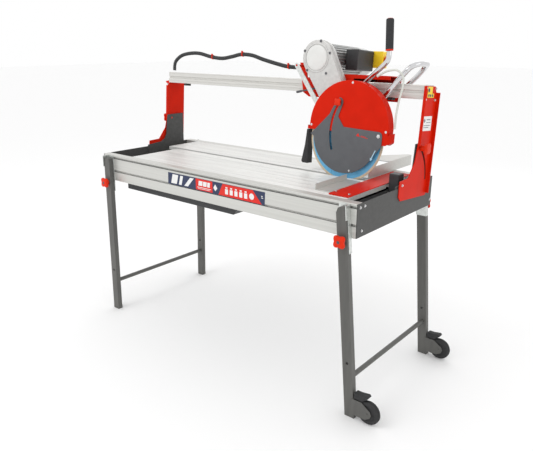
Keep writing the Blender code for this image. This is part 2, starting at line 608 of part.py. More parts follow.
def shield():
    """The swinging steel side shield: its curved slot is open at the top, between a short prong and a
    hook that curls round the guard's clamping stud."""
    px, pz = SHIELD_PIVOT
    lower = arc((0.4720, 1.0165), 0.1545, 186, 330, 20)
    right = [(0.6450, 0.990), (0.6450, 1.032), (0.6410, 1.041), (0.6330, 1.0460), (0.4640, 1.0520)]
    hook = [(0.4340, 1.092), (0.4490, 1.135), (0.4530, 1.148), (0.4510, 1.159), (0.4430, 1.167),
            (0.4330, 1.169), (0.4330, 1.1615), (0.4400, 1.159), (0.4440, 1.152), (0.4420, 1.144)]
    slot = arc(SHIELD_PIVOT, 0.2223, 151, 199, 12)
    slot += [(px + 0.2275 * math.cos(math.radians(200)), pz + 0.2275 * math.sin(math.radians(200)))]
    slot += arc(SHIELD_PIVOT, 0.2327, 199, 151.5, 12)
    prong = [(0.4120, 1.140), (0.3900, 1.098), (0.3020, 1.010)]
    plate = flat([lower + right + hook + slot + prong, ring(SHIELD_PIVOT, 0.0052, 16)], "y", SHIELD_Y)
    keep("shield", plate, "grey_plate")


def link_bar():
    """The flat bar that keeps the guard level while the head plunges."""
    low = (LINK_TOP[0] + BLADE_AT[0] - HEAD_PIVOT[0], LINK_TOP[1] + BLADE_AT[1] - HEAD_PIVOT[1])
    outline = hull(LINK_TOP, 0.0105, low, 0.0105, 8)
    bar = flat([outline, ring(LINK_TOP, 0.0048, 12), ring(low, 0.0050, 12)], "y", (0.0635, 0.0675))
    keep("link_bar", bar, "galvanised")


def conduit():
    """The ribbed cable conduit from the left post to the head, lying in two waves over the rail."""
    stops = [(-0.748, 0.165, 1.246), (-0.742, 0.166, 1.290), (-0.700, 0.168, 1.322), (-0.640, 0.170, 1.336),
             (-0.561, 0.170, 1.338), (-0.470, 0.170, 1.322), (-0.391, 0.170, 1.316), (-0.320, 0.170, 1.326),
             (-0.261, 0.170, 1.337), (-0.190, 0.170, 1.334), (-0.117, 0.170, 1.316), (-0.030, 0.170, 1.298),
             (0.038, 0.170, 1.287), (0.130, 0.170, 1.284)]
    keep("cable_conduit", tube(smooth_run(stops, 3), 0.0090, 2), "black_plastic")


def water_hose():
    """The clear hose that brings water to the guard from the right."""
    stops = [(0.585, 0.040, 1.258), (0.625, 0.041, 1.279), (0.668, 0.041, 1.284), (0.695, 0.041, 1.262),
             (0.699, 0.041, 1.225), (0.690, 0.041, 1.175), (0.684, 0.041, 1.120), (0.684, 0.041, 1.062)]
    keep("water_hose", tube(smooth_run(stops, 3), 0.0042, 1), "clear_hose")


ROOT = ("front_beam rear_beam left_end_plate right_end_plate front_table rear_table water_tray water_pump "
        "angle_plate fence_front fence_rear left_bracket right_bracket hood_front_right hood_rear_right "
        "hood_front_left hood_rear_left tilt_knob_left tilt_knob_right leg_front_right leg_rear_right "
        "leg_front_left leg_rear_left brace_right brace_left wheel_front wheel_rear "
        "leg_knob_front_right leg_knob_rear_right leg_knob_front_left leg_knob_rear_left").split()


def lean_bridge():
    """Tip every piece of the bridge back about the tilt axis to the angle it stands at."""
    axis = Matrix.Translation((0.0, TILT_Y, TILT_Z))
    tip = axis @ Matrix.Rotation(-LEAN, 4, "X") @ axis.inverted()
    for name, obj in made.items():
        if name not in ROOT:
            obj.data.transform(tip)


def settle():
    """Stand the object on the floor with the middle of its outline over the origin."""
    spans = [[v.co[i] for obj in made.values() for v in obj.data.vertices] for i in range(3)]
    shift = Vector((-(min(spans[0]) + max(spans[0])) / 2, -(min(spans[1]) + max(spans[1])) / 2, -min(spans[2])))
    for obj in made.values():
        obj.data.transform(Matrix.Translation(shift))
    print("shift", [round(v, 6) for v in shift], "size", [round(max(s) - min(s), 4) for s in spans])


def main():
    global parts, cutters
    for obj in list(bpy.data.objects):
        bpy.data.objects.remove(obj, do_unlink=True)
    parts, cutters = bpy.data.collections.new(BODY), bpy.data.collections.new("cutters")
    for group in (parts, cutters):
        bpy.context.scene.collection.children.link(group)
    for step in (side_beams, table_planks, end_plates, water_tray, water_pump, angle_plate, fence_bars,
                 tilt_brackets, legs, braces, wheels, leg_knobs, posts, guide_rail, tilt_knobs, carriage,
                 rollers, push_handle, gear_case, motor, switch_box, handle, blade_set, guard,
                 splash_flap, shield, link_bar, conduit, water_hose):
        step()
    lean_bridge()
    settle()


main()
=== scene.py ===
import json
import math

import bmesh
import bpy
import numpy as np
from mathutils import Matrix, Vector

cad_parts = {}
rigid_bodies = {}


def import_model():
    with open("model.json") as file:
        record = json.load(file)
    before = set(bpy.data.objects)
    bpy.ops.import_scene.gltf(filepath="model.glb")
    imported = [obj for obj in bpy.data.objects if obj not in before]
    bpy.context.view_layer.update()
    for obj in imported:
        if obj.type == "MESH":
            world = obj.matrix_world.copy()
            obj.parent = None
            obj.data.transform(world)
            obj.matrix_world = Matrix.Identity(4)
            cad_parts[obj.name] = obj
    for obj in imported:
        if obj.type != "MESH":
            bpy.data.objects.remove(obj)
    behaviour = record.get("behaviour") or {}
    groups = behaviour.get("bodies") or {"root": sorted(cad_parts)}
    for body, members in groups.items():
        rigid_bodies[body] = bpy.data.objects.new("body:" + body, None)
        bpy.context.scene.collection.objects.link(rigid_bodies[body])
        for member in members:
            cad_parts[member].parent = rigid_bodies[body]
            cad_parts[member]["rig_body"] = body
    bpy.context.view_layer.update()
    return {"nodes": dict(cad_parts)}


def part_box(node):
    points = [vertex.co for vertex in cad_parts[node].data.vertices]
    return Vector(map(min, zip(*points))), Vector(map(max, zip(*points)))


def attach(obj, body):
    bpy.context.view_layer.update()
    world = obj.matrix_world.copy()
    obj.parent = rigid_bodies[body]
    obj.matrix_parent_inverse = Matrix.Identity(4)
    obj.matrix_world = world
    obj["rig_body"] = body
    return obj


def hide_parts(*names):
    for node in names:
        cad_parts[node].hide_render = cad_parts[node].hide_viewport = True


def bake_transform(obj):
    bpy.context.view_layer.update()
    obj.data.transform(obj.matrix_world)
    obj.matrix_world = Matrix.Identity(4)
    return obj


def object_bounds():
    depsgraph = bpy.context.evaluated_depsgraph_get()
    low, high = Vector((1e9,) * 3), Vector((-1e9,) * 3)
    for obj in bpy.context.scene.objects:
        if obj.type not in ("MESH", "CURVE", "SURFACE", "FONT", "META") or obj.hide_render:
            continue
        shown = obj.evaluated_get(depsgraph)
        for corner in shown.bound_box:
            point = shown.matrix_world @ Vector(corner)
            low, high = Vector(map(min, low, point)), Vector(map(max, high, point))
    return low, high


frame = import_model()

# ---------------------------------------------------------------------------------------------
# Camera.  It stands right of the operator's end, at eye height, and looks down the saw's length.
# Places are given from the middle of the table frame at floor level, then moved to the origin.
SHIFT = np.array(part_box("front_beam")[0]) - np.array((-0.746, -0.299, 0.715))


def stand(points):
    """Points given from the middle of the table frame, moved to the object's own origin."""
    return np.asarray(points, float) + SHIFT


camera = bpy.data.objects.new("camera", bpy.data.cameras.new("camera"))
bpy.context.scene.collection.objects.link(camera)
camera.data.lens, camera.data.sensor_width = 39.17, 36.0
camera.location = stand((1.7639, -1.9991, 1.392))
camera.rotation_euler = (math.radians(90 - 17.73), 0.0, math.radians(40.12))
bpy.context.scene.camera = camera
bpy.context.scene.view_settings.view_transform = "Standard"

# ---------------------------------------------------------------------------------------------
# Studio.  A pale floor that runs out of sight, a white room and three large soft lamps.
FLOOR_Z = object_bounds()[0][2]


def studio_floor():
    """A flat pale sheet well past the edges of the view."""
    mesh = bpy.data.meshes.new("studio_floor")
    mesh.from_pydata([(-30, -30, FLOOR_Z), (30, -30, FLOOR_Z), (30, 30, FLOOR_Z), (-30, 30, FLOOR_Z)],
                     [], [(0, 1, 2, 3)])
    floor = bpy.data.objects.new("studio_floor", mesh)
    bpy.context.scene.collection.objects.link(floor)
    paint = bpy.data.materials.new("floor_paint")
    paint.use_nodes = True
    shader = paint.node_tree.nodes["Principled BSDF"]
    shader.inputs["Base Color"].default_value = (0.97, 0.97, 0.97, 1)
    shader.inputs["Roughness"].default_value = 0.9
    mesh.materials.append(paint)


def soft_lamp(name, at, aim, size, power):
    """A square area lamp turned toward a point."""
    lamp = bpy.data.objects.new(name, bpy.data.lights.new(name, "AREA"))
    lamp.data.size, lamp.data.energy = size, power
    lamp.location = at
    lamp.rotation_euler = (Vector(aim) - Vector(at)).to_track_quat("-Z", "Y").to_euler()
    bpy.context.scene.collection.objects.link(lamp)


studio_floor()
soft_lamp("key_lamp", (-1.2, -2.6, 3.2), (0.1, 0.0, 0.9), 1.8, 22)
soft_lamp("side_lamp", (3.4, -0.2, 2.2), (0.3, 0.0, 0.9), 1.6, 5)
soft_lamp("back_lamp", (-0.5, 2.8, 3.0), (0.0, 0.0, 0.9), 2.4, 14)
world = bpy.data.worlds.new("room")
world.use_nodes = True
world.node_tree.nodes["Background"].inputs["Color"].default_value = (1.0, 1.0, 1.0, 1)
world.node_tree.nodes["Background"].inputs["Strength"].default_value = 1.0
bpy.context.scene.world = world

# ---------------------------------------------------------------------------------------------
# Side beams.  Two mill-finish aluminium extrusions; each outer face has two T-slots, and the long
# die lines of the extrusion run along them.


def finish(name, colour, metal=0.0, rough=0.5, mottle=0.06, scale=40.0, stretch=(1, 1, 1), bump=0.08,
           bump_scale=600.0, vary=0.10, coat=0.0, gloss=0.5):
    """A worked surface: two octaves of noise shift its colour by mottle and its roughness by vary, and
    a finer noise raises its grain.  stretch draws the pattern out along an axis, as dies and brushes do."""
    stuff = bpy.data.materials.new(name)
    stuff.use_nodes = True
    tree = stuff.node_tree
    new, link = tree.nodes.new, tree.links.new
    shader = tree.nodes["Principled BSDF"]
    shader.inputs["Metallic"].default_value = metal
    shader.inputs["Coat Weight"].default_value = coat
    shader.inputs["Specular IOR Level"].default_value = gloss
    shader.inputs["Coat Roughness"].default_value = 0.12
    place, turn = new("ShaderNodeTexCoord"), new("ShaderNodeMapping")
    turn.inputs["Scale"].default_value = stretch
    link(place.outputs["Object"], turn.inputs["Vector"])
    cloud, grain = new("ShaderNodeTexNoise"), new("ShaderNodeTexNoise")
    cloud.inputs["Scale"].default_value, cloud.inputs["Detail"].default_value = scale, 5.0
    grain.inputs["Scale"].default_value, grain.inputs["Detail"].default_value = bump_scale, 3.0
    ramp, spread, dent = new("ShaderNodeValToRGB"), new("ShaderNodeMapRange"), new("ShaderNodeBump")
    low = [max(0.0, c * (1 - mottle)) for c in colour]
    high = [min(1.0, c * (1 + mottle) + mottle * 0.01) for c in colour]
    ramp.color_ramp.elements[0].position, ramp.color_ramp.elements[1].position = 0.32, 0.68
    ramp.color_ramp.elements[0].color, ramp.color_ramp.elements[1].color = (*low, 1), (*high, 1)
    spread.inputs["To Min"].default_value = max(0.03, rough - vary)
    spread.inputs["To Max"].default_value = min(1.0, rough + vary)
    dent.inputs["Strength"].default_value, dent.inputs["Distance"].default_value = bump, 0.001
    for noise in (cloud, grain):
        link(turn.outputs["Vector"], noise.inputs["Vector"])
    link(cloud.outputs["Fac"], ramp.inputs["Fac"])
    link(ramp.outputs["Color"], shader.inputs["Base Color"])
    link(cloud.outputs["Fac"], spread.inputs["Value"])
    link(spread.outputs["Result"], shader.inputs["Roughness"])
    link(grain.outputs["Fac"], dent.inputs["Height"])
    link(dent.outputs["Normal"], shader.inputs["Normal"])
    return stuff


def build(name, points, faces, stuff, body, stands_for=(), smooth=30.0, bevel=0.0, solid=True):
    """A finished piece: its mesh, cleaned and facing outwards, its edge rounding, and what it rides on."""
    mesh = bpy.data.meshes.new(name)
    mesh.from_pydata(np.asarray(points, float).tolist(), [], [tuple(int(i) for i in f) for f in faces])
    piece = bpy.data.objects.new(name, mesh)
    bpy.context.scene.collection.objects.link(piece)
    work = bmesh.new()
    work.from_mesh(mesh)
    bmesh.ops.remove_doubles(work, verts=work.verts, dist=2e-6)
    if solid:
        bmesh.ops.recalc_face_normals(work, faces=work.faces)
    work.to_mesh(mesh)
    work.free()
    finish_piece(piece, stuff, body, stands_for, smooth, bevel)
    return piece


def finish_piece(piece, stuff, body, stands_for, smooth, bevel):
    """Round the sharp edges, shade what is left smooth, hang the piece on its body and hide the parts it stands
    for.
    """
    piece.data.materials.clear()
    piece.data.materials.append(stuff)
    if bevel > 0:
        edge = piece.modifiers.new("edge", "BEVEL")
        edge.width, edge.segments, edge.limit_method = bevel, 2, "ANGLE"
        edge.angle_limit = math.radians(28)
        edge.use_clamp_overlap = True
    if smooth > 0:
        piece.data.shade_smooth()
        limit = math.radians(smooth)
        work = bmesh.new()
        work.from_mesh(piece.data)
        for e in work.edges:
            e.smooth = len(e.link_faces) == 2 and e.calc_face_angle(0.0) < limit
        work.to_mesh(piece.data)
        work.free()
        if bevel > 0:
            even = piece.modifiers.new("even", "WEIGHTED_NORMAL")
            even.keep_sharp = False
    if body:
        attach(piece, body)
    if stands_for:
        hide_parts(*stands_for)


def refine(node, stuff, bevel=0.001, name=None):
    """The part's own solid with its sharp edges broken as the real sheet's or casting's are."""
    source = frame["nodes"][node]
    mesh = source.data.copy()
    piece = bpy.data.objects.new(name or node + "_shape", mesh)
    bpy.context.scene.collection.objects.link(piece)
    work = bmesh.new()
    work.from_mesh(mesh)
    bmesh.ops.remove_doubles(work, verts=work.verts, dist=2e-6)
    bmesh.ops.dissolve_limit(work, angle_limit=math.radians(1.5), verts=work.verts, edges=work.edges)
    work.to_mesh(mesh)
    work.free()
    body = source["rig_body"]
    finish_piece(piece, stuff, body, (node,), 30.0, bevel)
    return piece


mill_aluminium = finish("mill_aluminium", (0.60, 0.60, 0.57), metal=0.45, rough=0.40, mottle=0.05,
                        scale=26, stretch=(0.03, 6, 6), bump=0.05, bump_scale=260, vary=0.10)
for node in ("front_beam", "rear_beam"):
    refine(node, mill_aluminium, 0.0014)

# ---------------------------------------------------------------------------------------------
# Table planks.  Extruded aluminium decking, its top ploughed with fine drainage grooves that run
# the length of the saw; a deeper joint every few grooves.


def plank(name, x, y, top, thick, pitch, node):
    """Decking: across the plank the surface drops by a groove's depth inside each groove, which is a
    fixed share of the pitch wide; that section is carried straight along X."""
    count = int(round((y[1] - y[0]) / pitch))
    step = (y[1] - y[0]) / count
    starts = y[0] + step * np.arange(count)
    deep = np.where(np.arange(count) % 4 == 3, 0.0022, 0.0010)
    share = np.array((0.0, 0.30, 0.36, 0.60, 0.66, 0.99))
    down = np.array((0.0, 0.0, 1.0, 1.0, 0.0, 0.0))
    yy = (starts[:, None] + step * share[None, :]).ravel()
    zz = (top - deep[:, None] * down[None, :]).ravel()
    yy = np.concatenate((yy, [y[1], y[1], y[0]]))
    zz = np.concatenate((zz, [top, top - thick, top - thick]))
    sides = len(yy)
    points = np.concatenate([np.stack((np.full(sides, at), yy, zz), 1) for at in x])
    ring = np.arange(sides)
    walls = np.stack((ring, np.roll(ring, -1), np.roll(ring, -1) + sides, ring + sides), 1).tolist()
    build(name, stand(points), walls + [ring[::-1].tolist(), (ring + sides).tolist()], deck_aluminium,
          "table_frame", (node,), smooth=20)


deck_aluminium = finish("deck_aluminium", (0.76, 0.76, 0.74), metal=0.45, rough=0.42, mottle=0.07, scale=18,
                        stretch=(0.15, 3, 3), bump=0.06, bump_scale=300, vary=0.12)
plank("front_deck", (-0.565, 0.678), (-0.2617, 0.029), 0.844, 0.016, 0.0121, "front_table")
plank("rear_deck", (-0.655, 0.678), (0.053, 0.2617), 0.844, 0.016, 0.0121, "rear_table")

# ---------------------------------------------------------------------------------------------
# End plates and tilt brackets.  Laser-cut steel, powder coated dark grey, bolted between the beams.
dark_coat = finish("dark_coat", (0.072, 0.072, 0.070), rough=0.46, mottle=0.12, scale=60, bump=0.12,
                   bump_scale=900, gloss=0.25)
for node in ("left_end_plate", "right_end_plate", "left_bracket", "right_bracket"):
    refine(node, dark_coat, 0.0008)

# ---------------------------------------------------------------------------------------------
# Legs.  Rectangular steel tube in dark grey paint, hung in folded galvanised hoods and tied in pairs by
# round braces.


def spangled(name, colour, rough):
    """Galvanised steel: zinc crystals a few millimetres across, each a little lighter or darker than the next,
    over fine grain."""
    stuff = finish(name, colour, metal=0.9, rough=rough, mottle=0.05, scale=60, bump=0.05, bump_scale=700)
    tree = stuff.node_tree
    new, link = tree.nodes.new, tree.links.new
    shader = tree.nodes["Principled BSDF"]
    place = next(n for n in tree.nodes if n.bl_idname == "ShaderNodeTexCoord")
    crystal, tone, mix = new("ShaderNodeTexVoronoi"), new("ShaderNodeMapRange"), new("ShaderNodeMix")
    crystal.inputs["Scale"].default_value = 130.0
    tone.inputs["To Min"].default_value, tone.inputs["To Max"].default_value = 0.86, 1.10
    mix.data_type, mix.blend_type = "RGBA", "MULTIPLY"
    mix.inputs["Factor"].default_value = 1.0
    base = shader.inputs["Base Color"].links[0].from_socket
    link(place.outputs["Object"], crystal.inputs["Vector"])
    link(crystal.outputs["Color"], tone.inputs["Value"])
    link(base, mix.inputs["A"])
    link(tone.outputs["Result"], mix.inputs["B"])
    link(mix.outputs["Result"], shader.inputs["Base Color"])
    return stuff


zinc = spangled("zinc_coat", (0.66, 0.68, 0.66), 0.38)
leg_coat = finish("leg_coat", (0.108, 0.107, 0.100), rough=0.42, mottle=0.10, scale=22, stretch=(2, 2, 0.25),
                  bump=0.12, bump_scale=700, gloss=0.35)
for end in ("left", "right"):
    refine(f"brace_{end}", leg_coat, 0.0006)
    for face in ("front", "rear"):
        refine(f"leg_{face}_{end}", leg_coat, 0.0012)
        refine(f"hood_{face}_{end}", zinc, 0.0007)

# ---------------------------------------------------------------------------------------------
# Wheels and bumpers.  Moulded rubber tyres in forks welded to the right legs, with a rubber buffer
# over each.


def turned(profile, at, axis, steps=40):
    """A lathe surface: each (radius, height) of the profile is carried round the axis through a full
    turn, x = r cos t and y = r sin t across the axis, and the height along it."""
    profile = np.asarray(profile, float)
    turn = np.arange(steps) * 2 * math.pi / steps
    r, h = profile[:, 0][:, None], profile[:, 1][:, None]
    local = np.stack((r * np.cos(turn), r * np.sin(turn), np.broadcast_to(h, (len(profile), steps))), -1)
    order = {"x": (2, 0, 1), "y": (1, 2, 0), "z": (0, 1, 2)}[axis]
    points = local.reshape(-1, 3)[:, order] + np.asarray(at, float)
    i, j = np.meshgrid(np.arange(len(profile) - 1), np.arange(steps), indexing="ij")
    a, b = i * steps + j, i * steps + (j + 1) % steps
    faces = np.stack((a, b, b + steps, a + steps), -1).reshape(-1, 4).tolist()
    return points, faces


def gathered(*meshes):
    """Several meshes as one piece: the second's faces count on from the first's points."""
    points, faces, start = [], [], 0
    for p, f in meshes:
        points.append(np.asarray(p, float))
        faces += [[int(i) + start for i in face] for face in f]
        start += len(p)
    return np.concatenate(points), faces


def prism(outline, axis, span):
    """A straight-sided solid: a 2-D outline carried from span[0] to span[1] along one axis.  The outline
    is in (y, z) for x, (x, z) for y and (x, y) for z."""
    outline = np.asarray(outline, float)
    n = len(outline)
    layers = []
    for at in span:
        flat = np.full((n, 3), float(at))
        keep = [i for i, letter in enumerate("xyz") if letter != axis]
        flat[:, keep] = outline
        layers.append(flat)
    ring = np.arange(n)
    walls = np.stack((ring, np.roll(ring, -1), np.roll(ring, -1) + n, ring + n), 1).tolist()
    return np.concatenate(layers), walls + [ring[::-1].tolist(), (ring + n).tolist()]


def circle(at, radius, steps=32, lobes=0, depth=0.0, start=0.0):
    """Points round a circle whose radius swells and shrinks lobes times by depth."""
    turn = start + np.arange(steps) * 2 * math.pi / steps
    r = radius * (1 + depth * np.cos(lobes * turn))
    return np.stack((at[0] + r * np.cos(turn), at[1] + r * np.sin(turn)), 1)


black_rubber = finish("black_rubber", (0.022, 0.022, 0.023), rough=0.72, mottle=0.25, scale=90, bump=0.25,
                      bump_scale=1200)
AXLE_X, AXLE_Z, WHEEL_R = 0.850, 0.0482, 0.048
for face, side in (("front", -1), ("rear", 1)):
    middle = side * 0.3144
    tyre = [(0.0052, 0.0130), (0.014, 0.0130), (0.0155, 0.0105), (0.030, 0.0092), (0.0325, 0.0118),
            (0.0420, 0.0112), (0.0452, 0.0092), (0.0470, 0.0060), (WHEEL_R - 0.0004, 0.0052),
            (WHEEL_R - 0.0022, 0.0046), (WHEEL_R - 0.0022, 0.0034), (WHEEL_R - 0.0001, 0.0028),
            (WHEEL_R, 0.0), (WHEEL_R - 0.0001, -0.0028), (WHEEL_R - 0.0022, -0.0034),
            (WHEEL_R - 0.0022, -0.0046), (WHEEL_R - 0.0004, -0.0052), (0.0470, -0.0060), (0.0452, -0.0092),
            (0.0420, -0.0112), (0.0325, -0.0118), (0.030, -0.0092), (0.0155, -0.0105), (0.014, -0.0130),
            (0.0052, -0.0130), (0.0052, 0.0130)]
    points, faces = turned(tyre, (AXLE_X, middle, AXLE_Z), "y", 64)
    build(f"tyre_{face}", stand(points), faces, black_rubber, f"{face}_wheel", (f"wheel_{face}",),
          smooth=40)
    buffer = [(0.790, 0.0895), (0.8255, 0.0895), (0.852, 0.1120), (0.846, 0.1205), (0.812, 0.1150),
              (0.790, 0.1150)]
    points, faces = prism(buffer, "y", (middle - 0.0145, middle + 0.0145))
    build(f"wheel_buffer_{face}", stand(points), faces, black_rubber, "right_legs", bevel=0.003)

# ---------------------------------------------------------------------------------------------
# Beam label, painted slot shade and end plate bolts.  The label is a printed vinyl strip, laminated and rubbed
# down on the front beam, and its marks are plain bars, a diamond and blocks.  The dark lines in the beams'
# slots are painted shade, thin dark strips standing for the grooves' shadow, and the bolts are plated hexagon
# heads.


def screw_head(at, axis, way, radius, tall, sides=6):
    """A hexagon head on a round washer, standing tall from a face; way is +1 or -1 along the axis."""
    washer = turned([(0.0, 0.0), (radius * 1.35, 0.0), (radius * 1.35, tall * 0.2), (radius * 0.9, tall * 0.28),
                     (0.0, tall * 0.28)], (0, 0, 0), axis, 20)
    head = turned([(0.0, tall * 0.25), (radius, tall * 0.25), (radius, tall * 0.88), (radius * 0.86, tall),
                   (0.0, tall)], (0, 0, 0), axis, sides)
    points, faces = gathered(washer, head)
    along = "xyz".index(axis)
    points[:, along] *= way
    return points + np.asarray(at, float), faces


def patches(outlines, axis, span):
    """Several flat outlines as one thin piece, each carried across the same span of one axis."""
    return gathered(*(prism(outline, axis, span) for outline in outlines))


def slanted(x0, x1, z0, z1, lean=0.0):
    """A four-cornered patch whose top is pushed along by lean."""
    return [(x0, z0), (x1, z0), (x1 + lean, z1), (x0 + lean, z1)]


def vinyl(name, colour, rough=0.30, mottle=0.03):
    """Printed label film: an even colour under a smooth laminate."""
    return finish(name, colour, rough=rough, mottle=mottle, scale=40, bump=0.02, gloss=0.3)


bright_steel = finish("bright_steel", (0.70, 0.70, 0.70), metal=1.0, rough=0.24, mottle=0.05, scale=120,
                      bump=0.03, bump_scale=900)
vinyl_navy = vinyl("vinyl_navy", (0.030, 0.042, 0.095), rough=0.30, mottle=0.04)
vinyl_red = vinyl("vinyl_red", (0.70, 0.022, 0.012), rough=0.30, mottle=0.04)
vinyl_white = vinyl("vinyl_white", (0.80, 0.80, 0.79))
vinyl_pale = vinyl("vinyl_pale", (0.42, 0.66, 0.80))
vinyl_yellow = vinyl("vinyl_yellow", (0.85, 0.62, 0.02), rough=0.32, mottle=0.03)
label_grey = finish("printed_grey", (0.18, 0.19, 0.21), rough=0.40, mottle=0.04, scale=40, bump=0.02)
points, faces = prism([(-0.260, 0.7640), (0.322, 0.7630), (0.324, 0.8175), (-0.257, 0.8175)], "y",
                      (-0.2995, -0.2991))
build("beam_label", stand(points), faces, vinyl_navy, "table_frame")
# Painted shade: a thin dark strip in each T-slot stands for the groove's shadow.
for face, side in (("front", -1), ("rear", 1)):
    points, faces = gathered(*(prism([(side * 0.2978, z), (side * 0.2992, z), (side * 0.2992, z + tall),
                                      (side * 0.2978, z + tall)], "x", (-0.7455, 0.7455))
                               for z, tall in ((0.8266, 0.0022), (0.7600, 0.0014))))
    build(f"slot_shadow_{face}", stand(points), faces, dark_coat, "table_frame")
points, faces = gathered(*(screw_head((0.7497, y, z), "x", 1, 0.0042, 0.0036) for y, z in
                           ((-0.282, 0.829), (-0.251, 0.829), (-0.266, 0.739), (0.286, 0.742))))
build("end_plate_bolts", stand(points), faces, bright_steel, "table_frame", smooth=30)
points, faces = patches([slanted(-0.0745, 0.0285, 0.7660, 0.8155),
                         [(0.0640, 0.7645), (0.3070, 0.7640), (0.2590, 0.8160), (0.0900, 0.8160)]], "y",
                        (-0.2998, -0.2996))
build("beam_label_red", stand(points), faces, vinyl_red, "table_frame")
blocks = [slanted(0.104 + 0.027 * i, 0.121 + 0.027 * i, 0.7740, 0.7960) for i in range(5)]
blocks += [slanted(0.107 + 0.027 * i, 0.118 + 0.027 * i, 0.7990, 0.8050) for i in range(5)]
blocks += [slanted(-0.066, 0.020, 0.7770, 0.7795), slanted(-0.060, 0.014, 0.7715, 0.7733),
           slanted(-0.058, -0.034, 0.7860, 0.8070, 0.003), slanted(-0.030, -0.008, 0.7860, 0.8070, 0.003),
           slanted(-0.004, 0.012, 0.7860, 0.8070, 0.003), circle((0.253, 0.7880), 0.0130, 24),
           slanted(-0.238, -0.200, 0.7700, 0.8120, 0.012), slanted(-0.186, -0.168, 0.7700, 0.8120, 0.012),
           [(-0.150, 0.7700), (-0.126, 0.7700), (-0.086, 0.8120), (-0.110, 0.8120)],
           [(0.0345, 0.7905), (0.0460, 0.7765), (0.0590, 0.7905), (0.0460, 0.8060)],
           slanted(0.304, 0.314, 0.7900, 0.7930), slanted(0.304, 0.312, 0.7970, 0.8000)]
points, faces = patches(blocks, "y", (-0.3001, -0.2999))
build("beam_label_white", stand(points), faces, vinyl_white, "table_frame")

# ---------------------------------------------------------------------------------------------
# Leg knobs and tilt knobs.  Four-lobed red plastic grips moulded on steel studs, with a domed cap.


red_moulding = finish("red_moulding", (0.70, 0.026, 0.003), rough=0.40, mottle=0.06, scale=50, bump=0.06,
                      bump_scale=800, gloss=0.16)


def lobed_grip(radius, near, far):
    """A knob's grip as a lofted surface: at each height the outline is a circle pulled into four lobes,
    and the height's own factor draws it in at the rim and over the domed top."""
    heights = np.array((0.0, 0.03, 0.12, 0.40, 0.46, 0.52, 0.80, 0.92, 0.985, 1.0))
    widths = np.array((0.0, 0.50, 0.53, 0.55, 0.80, 0.97, 1.0, 0.93, 0.62, 0.0))
    lobe = np.array((0.0, 0.0, 0.0, 0.3, 0.8, 1.0, 1.0, 0.95, 0.5, 0.0)) * 0.17
    turn = np.arange(48) * 2 * math.pi / 48
    r = radius * widths[:, None] * (1 + lobe[:, None] * np.cos(4 * turn + math.pi)[None, :])
    h = np.broadcast_to((near + (far - near) * heights)[:, None], r.shape)
    points = np.stack((r * np.cos(turn), r * np.sin(turn), h), -1).reshape(-1, 3)
    i, j = np.meshgrid(np.arange(len(heights) - 1), np.arange(48), indexing="ij")
    a, b = i * 48 + j, i * 48 + (j + 1) % 48
    return points, np.stack((a, b, b + 48, a + 48), -1).reshape(-1, 4).tolist()


def facing(mesh, axis, way, at):
    """Turn a piece drawn along +Z to stand along an axis at a point."""
    order = {"x": (2, 0, 1), "y": (1, 2, 0), "z": (0, 1, 2)}[axis]
    points = np.asarray(mesh[0])[:, order].copy()
    points[:, "xyz".index(axis)] *= way
    return points + np.asarray(at, float), mesh[1]


LEG_EDGES = {"right": (0.675, 0.752), "left": (-0.713, -0.736)}


def leg_edge(end, z):
    """x of a splayed leg's inner edge at height z: a straight line from its foot to its top."""
    top, foot = LEG_EDGES[end]
    return foot + (top - foot) * z / 0.834


dark_steel = finish("dark_steel", (0.10, 0.10, 0.11), metal=0.8, rough=0.35, mottle=0.1, scale=90, bump=0.05)
for end in ("right", "left"):
    x = leg_edge(end, 0.708) + 0.021
    for face, side in (("front", -1), ("rear", 1)):
        name = f"leg_knob_{face}_{end}"
        points, faces = facing(lobed_grip(0.0245, 0.0, 0.0266), "y", side, (x, side * 0.3267, 0.708))
        build(name + "_grip", stand(points), faces, red_moulding, name + "_body", (name,),
              smooth=50)
        cap = facing(turned([(0, 0.0255), (0.0068, 0.0255), (0.0068, 0.0270), (0.0050, 0.0276), (0, 0.0276)],
                            (0, 0, 0), "z", 6), "y", side, (x, side * 0.3264, 0.708))
        build(name + "_cap", stand(cap[0]), cap[1], dark_steel, name + "_body", smooth=30)

# ---------------------------------------------------------------------------------------------
# Bridge posts, their knobs, screws and labels.  Folded steel channels in red powder coat; everything on
# the bridge leans back with them, so its places are drawn upright and then tipped about the tilt axis.
TILT_Y, TILT_Z, LEAN = 0.035, 0.845, math.radians(4.7)


def upright(points):
    """Points drawn with the bridge upright, tipped back by its lean about the tilt axis:
    y and z turn together about that axis, and x stays."""
    points = np.asarray(points, float)
    y, z = points[..., 1] - TILT_Y, points[..., 2] - TILT_Z
    c, s = math.cos(LEAN), math.sin(LEAN)
    tipped = np.stack((points[..., 0], TILT_Y + y * c + z * s, TILT_Z - y * s + z * c), -1)
    return stand(tipped)


